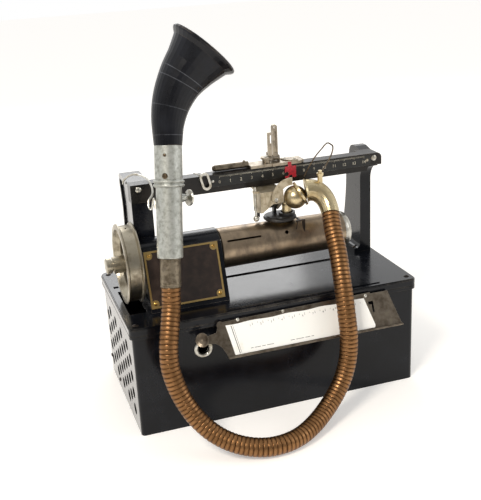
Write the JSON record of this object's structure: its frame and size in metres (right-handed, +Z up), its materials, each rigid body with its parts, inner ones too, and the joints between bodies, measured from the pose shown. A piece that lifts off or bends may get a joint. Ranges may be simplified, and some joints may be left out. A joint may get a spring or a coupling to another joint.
{
  "type": "wax cylinder dictating machine",
  "caption": "Electric office dictating machine: mandrel for wax cylinders, geared feed carriage with recorder, ribbed speaking hose and flared horn on a perforated case.",
  "frame": {"origin": "centre of the case's underside, on the table", "axes": "+X to the right along the mandrel, -Y to the front with the slip tray and speaking tube, +Z up"},
  "size_m": [0.3415, 0.2757, 0.4283],
  "materials": {
    "black_enamel": "gloss",
    "brown_japan": "satin",
    "plain_steel": "satin",
    "black_steel": "satin",
    "worn_steel": "satin",
    "nickel": "satin",
    "bronze": "satin",
    "brass": "satin",
    "worn_brass": "satin",
    "plate_brass": "satin",
    "scale_brass": "satin",
    "paper": "matte",
    "fibre": "matte",
    "red_enamel": "gloss",
    "hose_bronze": "satin",
    "mica": "gloss"
  },
  "bodies": {
    "case": {"case_shell": "black_enamel", "bottom_plate": "plain_steel", "bedplate": "black_enamel", "black_screws": "black_steel", "left_post": "black_enamel", "right_post": "black_enamel", "top_bar": "brown_japan", "scale_plate": "scale_brass", "nickel_screws": "nickel", "bar_clip": "nickel", "hook_wire": "nickel", "bearing_housing": "black_enamel", "bearing_bushes": "bronze", "nameplate": "plate_brass", "nameplate_screws": "brass", "slip_tray": "worn_steel", "paper_slip": "paper", "front_bushing": "nickel", "cord_bushing": "fibre", "horn": "black_enamel", "upper_tube": "nickel", "lower_tube": "nickel", "hose_ferrule": "worn_brass", "tube_screws": "black_steel", "idler_pins": "plain_steel", "motor_frame": "black_enamel", "motor_bracket": "black_enamel"},
    "carriage": {"saddle": "worn_steel", "guide_rod": "nickel", "index_pointer": "red_enamel", "oval_plate": "worn_steel", "carriage_screws": "nickel", "head_bracket": "worn_brass", "yoke_strap": "worn_brass", "guide_pin": "nickel", "sound_ball": "worn_brass", "elbow_tube": "worn_brass", "wire_loop": "black_steel", "hose": "hose_bronze"},
    "shift": {"shift_lever": "worn_steel", "half_nut": "bronze"},
    "stop": {"stop_lever": "worn_steel"},
    "recorder": {"diaphragm_housing": "black_steel", "diaphragm": "mica", "stylus": "black_steel"},
    "mandrel_set": {"mandrel": "worn_brass", "mandrel_ring": "nickel", "mandrel_shaft": "plain_steel", "pulley": "nickel", "hub_cap": "nickel", "mandrel_gear": "brass"},
    "idler_1": {"idler_gear_1": "plain_steel"},
    "idler_2": {"idler_gear_2": "brass"},
    "feed": {"feed_screw": "plain_steel", "feed_gear": "plain_steel"},
    "motor": {"motor_rotor": "plain_steel", "motor_pulley": "plain_steel"},
    "marker": {"marker_knob": "worn_steel"},
    "thumb": {"thumb_disc": "nickel"}
  },
  "joints": [
    {"name": "mandrel_spin", "type": "hinge", "parent": "case", "child": "mandrel_set", "pos_m": [0, -0.015, 0.175], "axis": [1, 0, 0], "continuous": true},
    {"name": "idler_1_spin", "type": "hinge", "parent": "case", "child": "idler_1", "pos_m": [-0.126, 0.01627, 0.18958], "axis": [1, 0, 0], "continuous": true},
    {"name": "idler_2_spin", "type": "hinge", "parent": "case", "child": "idler_2", "pos_m": [-0.126, 0.02364, 0.21711], "axis": [1, 0, 0], "continuous": true},
    {"name": "feed_screw_spin", "type": "hinge", "parent": "case", "child": "feed", "pos_m": [0, 0.026, 0.2425], "axis": [1, 0, 0], "continuous": true},
    {"name": "motor_spin", "type": "hinge", "parent": "case", "child": "motor", "pos_m": [-0.08, -0.015, 0.052], "axis": [1, 0, 0], "continuous": true},
    {"name": "carriage_slide", "type": "slide", "parent": "case", "child": "carriage", "axis": [1, 0, 0], "range_m": [-0.058, 0.06], "deforming": ["hose"]},
    {"name": "shift_lever_tilt", "type": "hinge", "parent": "carriage", "child": "shift", "pos_m": [0.0357, 0.008, 0.2656], "axis": [1, 0, 0], "range_deg": [0, 8]},
    {"name": "stop_lever_turn", "type": "hinge", "parent": "carriage", "child": "stop", "pos_m": [0.0235, 0.0045, 0.263], "axis": [0, 0, 1], "range_deg": [0, 25]},
    {"name": "recorder_lift", "type": "hinge", "parent": "carriage", "child": "recorder", "pos_m": [0.018, -0.005, 0.213], "axis": [-1, 0, 0], "range_deg": [0, 3]},
    {"name": "thumb_press", "type": "slide", "parent": "case", "child": "thumb", "axis": [-0.9484, -0.2615, 0.1791], "range_m": [0, 0.003], "stiffness_N_per_m": 400},
    {"name": "marker_press", "type": "slide", "parent": "case", "child": "marker", "axis": [0.5495, 0.7493, -0.3696], "range_m": [0, 0.0025], "stiffness_N_per_m": 400}
  ],
  "couplings": [
    {"joint": "idler_1_spin", "follows": "mandrel_spin", "ratio": -1.3},
    {"joint": "idler_2_spin", "follows": "mandrel_spin", "ratio": 1.4444},
    {"joint": "feed_screw_spin", "follows": "mandrel_spin", "ratio": -1.625}
  ]
}
